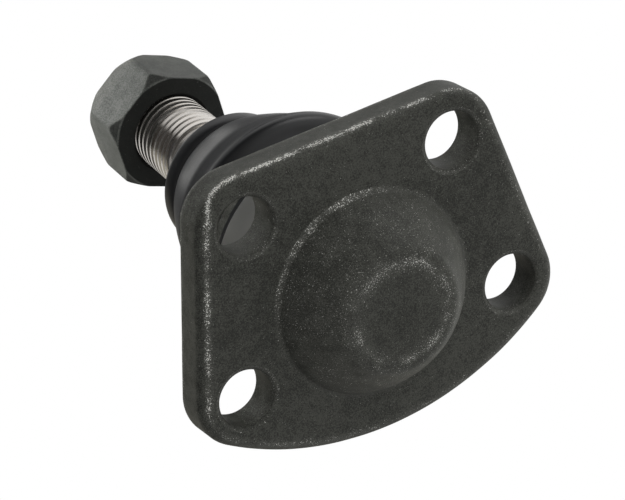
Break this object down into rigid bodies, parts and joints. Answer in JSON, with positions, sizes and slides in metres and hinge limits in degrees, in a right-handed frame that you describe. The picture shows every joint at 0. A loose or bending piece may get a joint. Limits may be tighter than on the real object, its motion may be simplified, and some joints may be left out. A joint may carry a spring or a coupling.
{
  "type": "suspension ball joint",
  "caption": "Four-bolt flanged ball joint: a domed socket housing, a tapered ball stud with a locking nut, and a rubber boot.",
  "frame": {"origin": "centre of the ball, on the axis of the dome and the socket", "axes": "+Z out of the flange through the dome, +Y towards the flange's straight narrow edge, +X along that edge; the stud points down, leaning 6.4 degrees, mostly towards +Y"},
  "size_m": [0.0578, 0.0457, 0.0804],
  "materials": {
    "phosphated_steel": "matt dark phosphate with worn edges",
    "stud_steel": "bright machined steel",
    "nut_steel": "dark grey phosphate",
    "spring_steel": "oiled spring steel",
    "bearing_plastic": "natural acetal",
    "insert_nylon": "natural nylon",
    "boot_rubber": "satin black moulded rubber"
  },
  "bodies": {
    "housing": {"housing": "phosphated_steel", "upper_bearing_cup": "bearing_plastic", "lower_bearing_ring": "bearing_plastic", "closing_ring": "phosphated_steel", "preload_spring": "spring_steel", "boot_base": "boot_rubber", "boot_base_clamp": "spring_steel"},
    "boot_waist": {"boot_waist": "boot_rubber"},
    "boot_lip": {"boot_lip": "boot_rubber", "boot_stud_clamp": "spring_steel"},
    "ball_stud": {"ball_stud": "stud_steel"},
    "nut_insert": {"nut_insert": "insert_nylon"},
    "hex_nut": {"hex_nut": "nut_steel"}
  },
  "joints": [
    {"name": "tilt_x", "type": "hinge", "parent": "housing", "child": "boot_waist", "pos_m": [0, 0, 0], "axis": [1, 0, 0], "range_deg": [-26.26, 13.74], "deforming": ["boot_base", "boot_waist"]},
    {"name": "tilt_y", "type": "hinge", "parent": "boot_waist", "child": "boot_lip", "pos_m": [0, 0, 0], "axis": [0, 0.994, 0.109], "range_deg": [-18.83, 21.17], "deforming": ["boot_lip"]},
    {"name": "stud_spin", "type": "hinge", "parent": "boot_lip", "child": "ball_stud", "pos_m": [0, 0, 0], "axis": [0.0204, 0.109, -0.9938], "continuous": true},
    {"name": "nut_travel", "type": "slide", "parent": "ball_stud", "child": "nut_insert", "axis": [-0.0204, -0.109, 0.9938], "range_m": [-0.00401, 0.01001]},
    {"name": "nut_spin", "type": "hinge", "parent": "nut_insert", "child": "hex_nut", "pos_m": [0, 0, 0], "axis": [-0.0204, -0.109, 0.9938], "range_deg": [-1152, 2880]}
  ],
  "couplings": [
    {"joint": "nut_travel", "follows": "nut_spin", "m_per_rad": 0.00019894}
  ]
}
